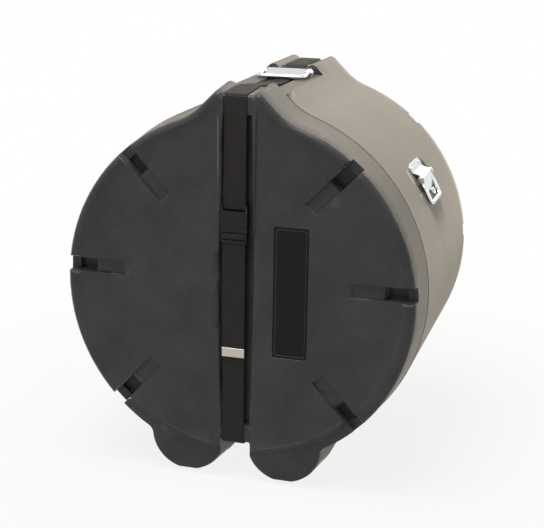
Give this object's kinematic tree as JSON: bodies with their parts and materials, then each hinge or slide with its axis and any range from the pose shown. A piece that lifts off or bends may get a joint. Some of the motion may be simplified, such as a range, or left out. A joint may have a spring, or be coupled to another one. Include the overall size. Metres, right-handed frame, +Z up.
{
  "type": "bass drum case",
  "caption": "Moulded round case for a bass drum, standing on two feet: a tub, a short telescoping lid, one web strap with a side-release buckle, and chromed bail handles.",
  "frame": {"origin": "on the floor under the middle of the closed case", "axes": "+X right as seen from the lid, +Y from the lid to the back, +Z up"},
  "size_m": [0.62, 0.482, 0.678],
  "materials": {
    "shell": "satin, leather-grained",
    "foam": "closed-cell foam, matt",
    "web": "ribbed polypropylene web",
    "buckle": "semi-gloss",
    "tip_metal": "satin",
    "chrome": "bright plated"
  },
  "bodies": {
    "base": {"base_shell": "shell", "base_pads": "foam", "strap_base": "web", "top_handle_plate": "chrome", "top_handle_pin": "chrome", "top_handle_rivets": "chrome", "right_handle_plate": "chrome", "right_handle_pin": "chrome", "right_handle_rivets": "chrome", "left_handle_plate": "chrome", "left_handle_pin": "chrome", "left_handle_rivets": "chrome"},
    "lid": {"lid_shell": "shell", "lid_pads": "foam", "strap_front_upper": "web", "strap_front_lower": "web", "strap_tip": "tip_metal", "buckle_socket": "buckle", "buckle_plug": "buckle"},
    "arm_right": {"buckle_arm_right": "buckle"},
    "arm_left": {"buckle_arm_left": "buckle"},
    "bail_top": {"top_handle_bail": "chrome"},
    "bail_right": {"right_handle_bail": "chrome"},
    "bail_left": {"left_handle_bail": "chrome"}
  },
  "joints": [
    {"name": "lid_slide", "type": "slide", "parent": "base", "child": "lid", "axis": [0, -1, 0], "range_m": [0, 0.15]},
    {"name": "arm_right_flex", "type": "hinge", "parent": "lid", "child": "arm_right", "pos_m": [0.0095, -0.234, 0.4445], "axis": [0, -1, 0], "range_deg": [0, 8], "stiffness_Nm_per_rad": 0.7},
    {"name": "arm_left_flex", "type": "hinge", "parent": "lid", "child": "arm_left", "pos_m": [-0.0175, -0.234, 0.4445], "axis": [0, -1, 0], "range_deg": [-8, 0], "stiffness_Nm_per_rad": 0.7},
    {"name": "bail_top_hinge", "type": "hinge", "parent": "base", "child": "bail_top", "pos_m": [0, 0.052, 0.669], "axis": [-1, 0, 0], "range_deg": [0, 100]},
    {"name": "bail_right_hinge", "type": "hinge", "parent": "base", "child": "bail_right", "pos_m": [0.26604, 0.008, 0.50645], "axis": [0, -1, 0], "range_deg": [0, 100]},
    {"name": "bail_left_hinge", "type": "hinge", "parent": "base", "child": "bail_left", "pos_m": [-0.26604, 0.008, 0.50645], "axis": [0, 1, 0], "range_deg": [0, 100]}
  ],
  "couplings": [
    {"joint": "arm_left_flex", "follows": "arm_right_flex", "ratio": -1}
  ]
}
